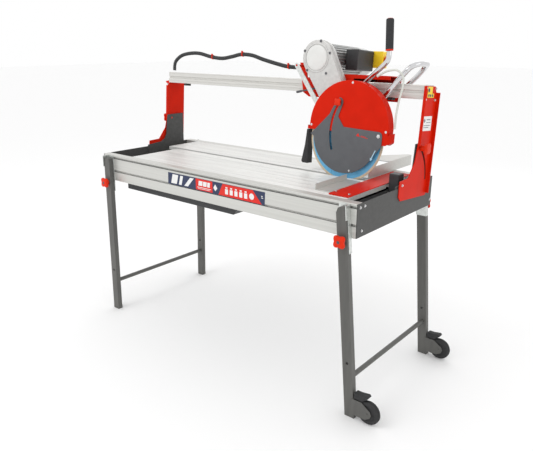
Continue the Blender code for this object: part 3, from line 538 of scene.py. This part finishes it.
red_coat = finish("red_coat", (0.62, 0.013, 0.001), rough=0.38, mottle=0.06, scale=14, bump=0.05,
                  bump_scale=500, vary=0.06, gloss=0.08)
for node in ("left_post", "right_post"):
    refine(node, red_coat, 0.0012)
KNOB_TURN, ARC_R = math.radians(53.0) - LEAN, 0.182
for end, side in (("left", -1), ("right", 1)):
    name = f"tilt_knob_{end}"
    at = (side * 0.7536, TILT_Y + ARC_R * math.cos(KNOB_TURN), TILT_Z + ARC_R * math.sin(KNOB_TURN))
    washer = facing(turned([(0, 0.0005), (0.0105, 0.0005), (0.0105, 0.003), (0, 0.003)], (0, 0, 0), "z", 24),
                    "x", side, at)
    hub = facing(turned([(0, 0.0028), (0.0110, 0.0028), (0.0116, 0.012), (0.0124, 0.020), (0, 0.020)],
                        (0, 0, 0), "z", 28), "x", side, at)
    grip = facing(lobed_grip(0.0225, 0.0150, 0.0348), "x", side, at)
    stud = facing(turned([(0, -0.012), (0.0044, -0.012), (0.0044, 0.004), (0, 0.004)], (0, 0, 0), "z", 12),
                  "x", side, at)
    points, faces = gathered(washer, hub, grip, stud)
    build(name + "_grip", stand(points), faces, red_moulding, name + "_body", (name,), smooth=50)
heads = [screw_head((0.7539, y, z), "x", 1, 0.0042, 0.0044) for y, z in
         ((0.133, 1.2245), (0.219, 1.2240), (0.133, 1.1800), (0.219, 1.1790), (0.016, 0.8520))]
points, faces = gathered(*heads)
build("right_post_screws", upright(points), faces, bright_steel, "bridge", smooth=30)
points, faces = gathered(screw_head((-0.7539, 0.219, 1.2200), "x", -1, 0.0042, 0.0044),
                         screw_head((-0.7539, 0.150, 1.2200), "x", -1, 0.0042, 0.0044),
                         screw_head((-0.7539, 0.219, 1.1790), "x", -1, 0.0042, 0.0044),
                         screw_head((-0.7539, 0.150, 1.1790), "x", -1, 0.0042, 0.0044),
                         screw_head((-0.768, 0.1348, 1.172), "y", -1, 0.0036, 0.0040))
build("left_post_screws", upright(points), faces, bright_steel, "bridge", smooth=30)
points, faces = patches([[(0.148, 1.1880), (0.206, 1.1880), (0.206, 1.2040), (0.190, 1.2040), (0.190, 1.2300),
                          (0.148, 1.2300)]], "x", (0.75385, 0.7541))
build("post_warning", upright(points), faces, vinyl_yellow, "bridge")
points, faces = patches([circle((0.158, 1.2160), 0.0080, 20), circle((0.160, 1.1960), 0.0058, 20),
                         circle((0.176, 1.1960), 0.0058, 20), circle((0.194, 1.1960), 0.0058, 20)], "x",
                        (0.75425, 0.7545))
build("post_warning_marks", upright(points), faces, vinyl_navy, "bridge")
points, faces = patches([[(0.134, 1.0580), (0.213, 1.0580), (0.212, 1.1160), (0.130, 1.1150)]], "x",
                        (0.75385, 0.7541))
build("post_plate", upright(points), faces, vinyl_white, "bridge")
points, faces = patches([circle((0.148, 1.0980), 0.0070, 20), [(0.166, 1.100), (0.200, 1.100), (0.200, 1.104),
                         (0.166, 1.104)], [(0.166, 1.090), (0.204, 1.090), (0.204, 1.0925), (0.166, 1.0925)],
                         [(0.144, 1.078), (0.202, 1.078), (0.202, 1.0805), (0.144, 1.0805)],
                         [(0.144, 1.070), (0.190, 1.070), (0.190, 1.0725), (0.144, 1.0725)]], "x",
                        (0.75425, 0.7545))
build("post_plate_marks", upright(points), faces, label_grey, "bridge")

# ---------------------------------------------------------------------------------------------
# Guide rail.  An anodised aluminium extrusion with a V-groove and two shadow lines along each face.


def rail_section(y, z):
    """The rail's section in (y, z), rounded at its corners and drawn in at each groove."""
    (y0, y1), (z0, z1) = y, z
    front = [(y0 + 0.003, z0), (y0 + 0.0008, z0 + 0.0008), (y0, z0 + 0.003), (y0, z0 + 0.011),
             (y0 + 0.0012, z0 + 0.0118), (y0 + 0.0012, z0 + 0.0132), (y0, z0 + 0.0140), (y0, z0 + 0.0238),
             (y0 + 0.0060, z0 + 0.0260), (y0 + 0.0060, z0 + 0.0320), (y0, z0 + 0.0342), (y0, z1 - 0.0075),
             (y0 + 0.0012, z1 - 0.0067), (y0 + 0.0012, z1 - 0.0053), (y0, z1 - 0.0045),
             (y0, z1 - 0.003), (y0 + 0.0008, z1 - 0.0008), (y0 + 0.003, z1)]
    back = [(y0 + y1 - a, b) for a, b in front[::-1]]
    return front + back


satin_aluminium = finish("satin_aluminium", (0.66, 0.65, 0.62), metal=0.45, rough=0.34, mottle=0.03, scale=20,
                         stretch=(0.04, 8, 8), bump=0.04, bump_scale=300, vary=0.08)
points, faces = prism(rail_section((0.128, 0.207), (1.180, 1.236)), "x", (-0.7502, 0.7502))
build("rail_extrusion", upright(points), faces, satin_aluminium, "bridge", ("guide_rail",),
      smooth=25)
for node in ("stop_left", "stop_right"):
    refine(node, black_rubber, 0.002)

# ---------------------------------------------------------------------------------------------
# Carriage.  Laser-cut and welded red plates that ride on four plastic rollers.
refine("carriage", red_coat, 0.0007)
nylon = finish("black_nylon", (0.03, 0.03, 0.032), rough=0.45, mottle=0.1, bump=0.05)
for node in ("roller_upper_left", "roller_upper_right", "roller_lower_left", "roller_lower_right"):
    refine(node, nylon, 0.0004)

# ---------------------------------------------------------------------------------------------
# Push handle.  One length of chromed tube bent to a U over the rail.


def smooth_line(stops, count):
    """A Catmull-Rom line through the stops, resampled to even steps: between P1 and P2 the point is
    (2 P1 + (P2 - P0) t + (2 P0 - 5 P1 + 4 P2 - P3) t^2 + (3 P1 - P0 - 3 P2 + P3) t^3) / 2."""
    p = np.asarray(stops, float)
    p = np.concatenate((p[:1], p, p[-1:]))
    t = np.linspace(0, 1, 24, endpoint=False)[None, :, None]
    p0, p1, p2, p3 = (p[i:len(p) - 3 + i][:, None, :] for i in range(4))
    line = (2 * p1 + (p2 - p0) * t + (2 * p0 - 5 * p1 + 4 * p2 - p3) * t ** 2
            + (3 * p1 - p0 - 3 * p2 + p3) * t ** 3) / 2
    line = np.concatenate((line.reshape(-1, 3), p[-1:]))
    along = np.concatenate(([0.0], np.cumsum(np.linalg.norm(np.diff(line, axis=0), axis=1))))
    even = np.linspace(0, along[-1], count)
    return np.stack([np.interp(even, along, line[:, i]) for i in range(3)], 1)


def swept(line, radii, sides=20):
    """A round skin carried along a line: at each point a circle of that point's radius stands across the
    line's direction, squared to the one direction that the whole line bends least toward, and both ends
    are closed."""
    line = np.asarray(line, float)
    radii = np.broadcast_to(np.asarray(radii, float), (len(line),))
    way = np.gradient(line, axis=0)
    way /= np.linalg.norm(way, axis=1)[:, None]
    flat = np.linalg.svd(way)[2][-1]
    side = np.cross(way, flat)
    side /= np.linalg.norm(side, axis=1)[:, None]
    up = np.cross(way, side)
    turn = np.arange(sides) * 2 * math.pi / sides
    points = (line[:, None, :] + radii[:, None, None] * (np.cos(turn)[None, :, None] * side[:, None, :]
              + np.sin(turn)[None, :, None] * up[:, None, :])).reshape(-1, 3)
    i, j = np.meshgrid(np.arange(len(line) - 1), np.arange(sides), indexing="ij")
    a, b = i * sides + j, i * sides + (j + 1) % sides
    faces = np.stack((a, b, b + sides, a + sides), -1).reshape(-1, 4).tolist()
    ring = np.arange(sides)
    return points, faces + [ring[::-1].tolist(), (ring + sides * (len(line) - 1)).tolist()]


chrome = finish("chrome_plate", (0.66, 0.66, 0.67), metal=1.0, rough=0.14, mottle=0.03, scale=200, bump=0.01,
                bump_scale=500, vary=0.03)
near, far = 0.1055, 0.2310
u_line = smooth_line([(0.505, near, 1.172), (0.560, near, 1.172), (0.590, near, 1.184), (0.655, near, 1.262),
                      (0.690, near + 0.004, 1.300), (0.712, near + 0.030, 1.314),
                      (0.716, (near + far) / 2, 1.316),
                      (0.712, far - 0.030, 1.314), (0.690, far - 0.004, 1.300), (0.655, far, 1.262),
                      (0.590, far, 1.200), (0.560, far, 1.196), (0.480, far, 1.196)], 90)
points, faces = swept(u_line, 0.0110, 24)
build("push_handle_tube", upright(points), faces, chrome, "carriage", ("push_handle",), smooth=50)

# ---------------------------------------------------------------------------------------------
# Gear case.  A sand-cast aluminium belt case in two halves: a dark gasket between two edge flanges,
# low lugs with flush screws round the front, and a pressed cover disc in a raised ring.
cast_skin = finish("cast_skin", (0.58, 0.575, 0.56), metal=0.6, rough=0.46, mottle=0.07, scale=70, bump=0.30,
                   bump_scale=900, vary=0.08)
white_cover = finish("white_cover", (0.72, 0.72, 0.70), rough=0.38, mottle=0.03, scale=30, bump=0.03, coat=0.1)
refine("gear_case", cast_skin, 0.0035)
MOTOR_X, MOTOR_Z = 0.268, 1.325
cover = turned([(0.0, -0.0052), (0.046, -0.0052), (0.0505, -0.0042), (0.0530, -0.0020), (0.054, -0.0005),
                (0.054, -0.0003), (0.0, -0.0003)], (MOTOR_X, 0.070, MOTOR_Z), "y", 64)
BLADE_X, BLADE_Z, BLADE_Y, BLADE_R = 0.471, 1.002, 0.035, 0.175


def belt_outline(offset, steps=48):
    """The outline of a belt over the motor's and the blade's pulleys, in (x, z): an arc round each, of
    radius 0.073 and 0.048 m plus the offset, joined by the two straight lines that touch both."""
    x, z = BLADE_X - MOTOR_X, BLADE_Z - MOTOR_Z
    far = math.hypot(x, z)
    toward, open_angle = math.atan2(z, x), math.acos((0.073 - 0.048) / far)
    big = toward + open_angle + np.linspace(0, 2 * math.pi - 2 * open_angle, steps)
    small = toward - open_angle + np.linspace(0, 2 * open_angle, steps)
    return np.concatenate((
        np.stack((MOTOR_X + (0.073 + offset) * np.cos(big), MOTOR_Z + (0.073 + offset) * np.sin(big)), 1),
        np.stack((BLADE_X + (0.048 + offset) * np.cos(small), BLADE_Z + (0.048 + offset) * np.sin(small)), 1)))


def edge_band(offset, inner, y0, y1):
    """A band round the belt case: the belt outline at two offsets, carried from y0 to y1, with its four
    faces closed all the way round."""
    rings = [np.insert(belt_outline(o), 1, y, axis=1) for o, y in
             ((offset, y0), (offset, y1), (inner, y1), (inner, y0))]
    n = len(rings[0])
    i, j = np.meshgrid(np.arange(4), np.arange(n), indexing="ij")
    a, b = i * n + j, i * n + (j + 1) % n
    c, d = ((i + 1) % 4) * n + (j + 1) % n, ((i + 1) % 4) * n + j
    return np.concatenate(rings), np.stack((a, b, c, d), -1).reshape(-1, 4).tolist()


points, faces = gathered(edge_band(0.0016, -0.006, 0.0890, 0.0935), edge_band(0.0016, -0.006, 0.0950, 0.0990),
                         turned([(0.0555, -0.0003), (0.0555, -0.0014), (0.0572, -0.0022), (0.0600, -0.0022),
                                 (0.0622, -0.0010), (0.0622, -0.0003), (0.0555, -0.0003)],
                                (MOTOR_X, 0.070, MOTOR_Z), "y", 64))
build("case_flanges", upright(points), faces, cast_skin, "head", smooth=30)
points, faces = edge_band(0.0008, -0.006, 0.0936, 0.0949)
build("case_gasket", upright(points), faces, dark_steel, "head", smooth=30)
CASE_BOLTS = ((0.284, 1.393), (0.334, 1.345), (0.322, 1.262), (0.222, 1.272), (0.204, 1.352))
LUG = ((0, -0.0002), (0.0078, -0.0002), (0.0072, -0.0012), (0, -0.0012))
points, faces = gathered(*(turned(LUG, (x, 0.0699, z), "y", 24) for x, z in CASE_BOLTS))
build("case_lugs", upright(points), faces, cast_skin, "head", smooth=30)
points, faces = gathered(*(screw_head((x, 0.0686, z), "y", -1, 0.0042, 0.0009) for x, z in CASE_BOLTS))
build("case_screws", upright(points), faces, dark_steel, "head", smooth=30)
build("cover_disc", upright(cover[0]), cover[1], white_cover, "head", ("case_cover",),
      smooth=40)

# ---------------------------------------------------------------------------------------------
# Motor.  A finned aluminium barrel between two end bells, with a pressed fan cowl behind.


def finned_barrel(radius, root, fins, y0, y1):
    """A barrel with square fins along its length: round the section the radius steps between the root
    and the fin tip, fins times a turn."""
    per = 8
    n = fins * per
    turn = np.arange(n) * 2 * math.pi / n
    phase = np.arange(n) % per
    r = np.where((phase >= 1) & (phase <= 3), radius, root)
    outline = np.stack((MOTOR_X + r * np.cos(turn), MOTOR_Z + r * np.sin(turn)), 1)
    return prism(outline, "y", (y0, y1))


motor_paint = finish("motor_paint", (0.50, 0.505, 0.50), metal=0.85, rough=0.42, mottle=0.08,
                     scale=60, bump=0.15, bump_scale=800)
front_bell = turned([(0, 0.1123), (0.066, 0.1123), (0.066, 0.128), (0.064, 0.132), (0, 0.132)],
                    (MOTOR_X, 0, MOTOR_Z), "y", 64)
barrel = finned_barrel(0.0645, 0.0575, 30, 0.131, 0.368)
rear_bell = turned([(0, 0.366), (0.0640, 0.366), (0.0650, 0.370), (0.0650, 0.432), (0.0630, 0.443),
                    (0.0560, 0.4515), (0, 0.4519)], (MOTOR_X, 0, MOTOR_Z), "y", 64)
points, faces = gathered(front_bell, barrel, rear_bell)
build("motor_barrel", upright(points), faces, motor_paint, "head", ("motor",), smooth=30)
black_moulding = finish("black_moulding", (0.028, 0.029, 0.031), rough=0.48, mottle=0.15, scale=60, bump=0.2,
                        bump_scale=900)
refine("terminal_box", black_moulding, 0.003)

# ---------------------------------------------------------------------------------------------
# Switch box.  A yellow moulded enclosure with a hinged lid line and a red mushroom stop button.
yellow_moulding = finish("yellow_moulding", (0.95, 0.70, 0.02), rough=0.35, mottle=0.04, bump=0.05, coat=0.1)
refine("switch_box", yellow_moulding, 0.0035)
mushroom = turned([(0.0, -0.0040), (0.0060, -0.0040), (0.0060, 0.0052), (0.0135, 0.0056), (0.0158, 0.0075),
                   (0.0160, 0.0110), (0.0145, 0.0145), (0.0100, 0.0168), (0.0, 0.0174)],
                  (0.440, 0.351, 1.336), "x", 36)
build("stop_mushroom", upright(mushroom[0]), mushroom[1], red_moulding, "stop_button",
      ("stop_button",), smooth=50)

# ---------------------------------------------------------------------------------------------
# Plunge handle.  A chromed bent tube with a foam grip between two red collars.
foam = finish("foam_grip", (0.028, 0.028, 0.030), rough=0.85, mottle=0.2, scale=200, bump=0.5, bump_scale=700)
tube_line = smooth_line([(0.459, 0.0960, 1.158), (0.475, 0.0960, 1.205), (0.515, 0.085, 1.240),
                         (0.570, 0.055, 1.274), (0.622, 0.030, 1.308), (0.634, 0.026, 1.325),
                         (0.635, 0.026, 1.352)], 70)
points, faces = swept(tube_line, 0.0100, 24)
build("plunge_tube", upright(points), faces, chrome, "head", ("handle_tube",), smooth=50)


def tipped_grip(profile, steps):
    """A turned piece on the grip's own axis, five degrees off upright."""
    points, faces = turned(profile, (0, 0, 0), "z", steps)
    tip = np.array(Matrix.Rotation(math.radians(-5), 3, "Y"))
    return points @ tip.T + np.array((0.635, 0.026, 1.3540)), faces


points, faces = tipped_grip([(0, 0.118), (0.0105, 0.118), (0.0138, 0.116), (0.0150, 0.112), (0.0150, 0.006),
                             (0.0143, 0.004), (0, 0.004)], 32)
build("grip_foam", upright(points), faces, foam, "head", ("handle_grip",), smooth=40)
points, faces = tipped_grip([(0, 0.1188), (0.0100, 0.1188), (0.0108, 0.1180), (0.0108, 0.1178),
                             (0, 0.1178)], 32)
build("grip_cap", upright(points), faces, red_moulding, "head", smooth=40)
points, faces = tipped_grip([(0, 0.0055), (0.0147, 0.0055), (0.0152, 0.004), (0.0147, 0.0005), (0.0128, 0.0001),
                             (0, 0.0001)], 32)
build("grip_collar", upright(points), faces, red_moulding, "head", smooth=40)

# ---------------------------------------------------------------------------------------------
# Blade.  A light blue steel core with a continuous diamond rim, clamped between turned flanges.
blade_paint = finish("blade_paint", (0.13, 0.44, 0.72), metal=0.15, rough=0.30, mottle=0.05,
                     scale=30, bump=0.02)
diamond = finish("diamond_rim", (0.62, 0.52, 0.38), metal=0.3, rough=0.62, mottle=0.12, scale=200, bump=0.4,
                 bump_scale=1500)
core = turned([(0.0096, -0.0013), (0.1655, -0.0013), (0.1655, 0.0013), (0.0096, 0.0013), (0.0096, -0.0013)],
              (BLADE_X, BLADE_Y, BLADE_Z), "y", 120)
build("blade_core", upright(core[0]), core[1], blade_paint, "spindle", ("blade",), smooth=30)
rim = turned([(0.1652, -0.0014), (0.1742, -0.0014), (BLADE_R, -0.0008), (BLADE_R, 0.0008), (0.1742, 0.0014),
              (0.1652, 0.0014), (0.1652, -0.0014)], (BLADE_X, BLADE_Y, BLADE_Z), "y", 120)
build("blade_rim", upright(rim[0]), rim[1], diamond, "spindle", smooth=30)
for node in ("blade_shaft", "blade_nut"):
    refine(node, bright_steel, 0.0006)

# ---------------------------------------------------------------------------------------------
# Blade guard.  Two deep-drawn red steel dishes bolted at ears round their flange, with flush screws in
# front, the shield's red knob, and a rubber splash flap hanging at the left.
refine("guard_front", red_coat, 0.0008)
refine("guard_rear", red_coat, 0.0016)
refine("splash_flap", black_rubber, 0.002)
knob = facing(lobed_grip(0.0155, 0.0002, 0.0150), "y", -1, (0.433, 0.0164, 1.1495))
build("shield_knob", upright(knob[0]), knob[1], red_moulding, "guard", smooth=50)
heads = [screw_head((x, 0.0198, z), "y", -1, 0.0036, tall) for x, z, tall in
         ((0.489, 1.2300, 0.0008), (0.3005, 1.0480, 0.0008), (0.6580, 1.0480, 0.0008))]
points, faces = gathered(*heads)
build("guard_screws", upright(points), faces, bright_steel, "guard", smooth=30)

# ---------------------------------------------------------------------------------------------
# Side shield.  Grey-coated sheet, laser cut, that swings on one screw and is held by a stud in its slot.
grey_coat = finish("grey_coat", (0.112, 0.117, 0.126), rough=0.42, mottle=0.05, scale=30, bump=0.08,
                   bump_scale=900, gloss=0.25)
refine("shield", grey_coat, 0.0005)
points, faces = patches([[(0.527, 1.0215), (0.545, 1.0190), (0.5365, 1.0335)],
                         [(0.549, 1.0190), (0.582, 1.0145), (0.5822, 1.0165), (0.5492, 1.0210)],
                         [(0.549, 1.0230), (0.574, 1.0195), (0.5742, 1.0210), (0.5492, 1.0245)]], "y",
                        (0.0163, 0.0166))
build("shield_mark", upright(points), faces, vinyl_red, "shield")
points, faces = patches([[(0.6235, 0.9720), (0.6200, 0.9730), (0.6045, 0.9400), (0.6010, 0.9415),
                          (0.6020, 0.9280), (0.6125, 0.9365), (0.6085, 0.9382)]], "y", (0.0163, 0.0166))
build("shield_arrow", upright(points), faces, vinyl_pale, "shield")
points, faces = gathered(screw_head((0.629, 0.0164, 1.029), "y", -1, 0.0056, 0.0040, 24),
                         screw_head((0.508, 0.0164, 0.8760), "y", -1, 0.0030, 0.0030))
build("shield_screws", upright(points), faces, bright_steel, "shield", smooth=30)

# ---------------------------------------------------------------------------------------------
# Link bar.  Bright zinc-plated flat bar that keeps the guard level, with a dark steel pin lying
# behind it on the carriage.
refine("link_bar", zinc, 0.0008)
pin = swept(smooth_line([(0.150, 0.1010, 1.176), (0.200, 0.1010, 1.187), (0.262, 0.1010, 1.200)], 24),
            np.repeat((0.0052, 0.0036, 0.0036, 0.0044), 6), 14)
build("link_pin", upright(pin[0]), pin[1], dark_steel, "carriage", smooth=40)

# ---------------------------------------------------------------------------------------------
# Fences, angle plate, tray and pump.  Cut aluminium angles, a red steel plate screwed to the deck, a
# moulded black tray under the table, and a small black pump standing in it.
refine("fence_front", mill_aluminium, 0.0006)
refine("fence_rear", mill_aluminium, 0.0006)
refine("angle_plate", red_coat, 0.0009)
refine("water_tray", black_moulding, 0.003)
refine("water_pump", black_moulding, 0.004)
points, faces = patches([[(0.692, 0.7960), (0.718, 0.7960), (0.705, 0.8180)]], "y", (0.0374, 0.0377))
build("pump_warning", stand(points), faces, vinyl_yellow, "table_frame")
points, faces = gathered(*(screw_head((x, y, 0.8495), "z", 1, 0.0042, 0.0036) for x, y in
                           ((0.596, -0.206), (0.662, -0.219), (0.662, 0.200))))
build("angle_plate_screws", stand(points), faces, bright_steel, "table_frame", smooth=30)

# ---------------------------------------------------------------------------------------------
# Cable conduit and water hose.  Corrugated black tube with red ties, hanging in two waves between the
# left post and the head, and a clear plastic hose from the head to the guard.
conduit_line = smooth_line([(-0.748, 0.165, 1.246), (-0.742, 0.166, 1.290), (-0.700, 0.168, 1.322),
                            (-0.640, 0.170, 1.336), (-0.561, 0.170, 1.338), (-0.470, 0.170, 1.322),
                            (-0.391, 0.170, 1.316), (-0.320, 0.170, 1.326), (-0.261, 0.170, 1.337),
                            (-0.190, 0.170, 1.334), (-0.117, 0.170, 1.316), (-0.030, 0.170, 1.298),
                            (0.038, 0.170, 1.287), (0.130, 0.170, 1.284)], 960)
ridges = 0.0086 + 0.0009 * np.sign(np.sin(np.arange(960) * 2 * math.pi / 6)) * np.abs(
    np.sin(np.arange(960) * 2 * math.pi / 6)) ** 0.5
points, faces = swept(conduit_line, ridges, 16)
conduit = build("conduit_tube", upright(points), faces, black_moulding, None,
                ("cable_conduit",), smooth=60)
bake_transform(conduit)
tie_rings = []
for x in (-0.457, -0.249, 0.044):
    at = conduit_line[np.argmin(np.abs(conduit_line[:, 0] - x))]
    tie_rings.append(turned([(0.0094, -0.0030), (0.0112, -0.0030), (0.0112, 0.0030), (0.0094, 0.0030),
                             (0.0094, -0.0030)], at, "x", 24))
    tie_rings.append(prism([(at[0] - 0.0028, at[1] - 0.012), (at[0] + 0.0028, at[1] - 0.012),
                            (at[0] + 0.0028, at[1] - 0.004), (at[0] - 0.0028, at[1] - 0.004)], "z",
                           (at[2] + 0.0085, at[2] + 0.0165)))
points, faces = gathered(*tie_rings)
ties = build("conduit_ties", upright(points), faces, red_moulding, None, smooth=30)
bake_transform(ties)
hose_line = smooth_line([(0.585, 0.040, 1.258), (0.625, 0.041, 1.279), (0.668, 0.041, 1.284),
                         (0.695, 0.041, 1.262), (0.699, 0.041, 1.225), (0.690, 0.041, 1.175),
                         (0.684, 0.041, 1.120), (0.684, 0.041, 1.062)], 80)
hose_wall = finish("hose_wall", (0.62, 0.63, 0.58), rough=0.2, mottle=0.05, bump=0.02, coat=0.3)
points, faces = swept(hose_line, 0.0042, 16)
build("hose_tube", upright(points), faces, hose_wall, "guard", ("water_hose",), smooth=60)
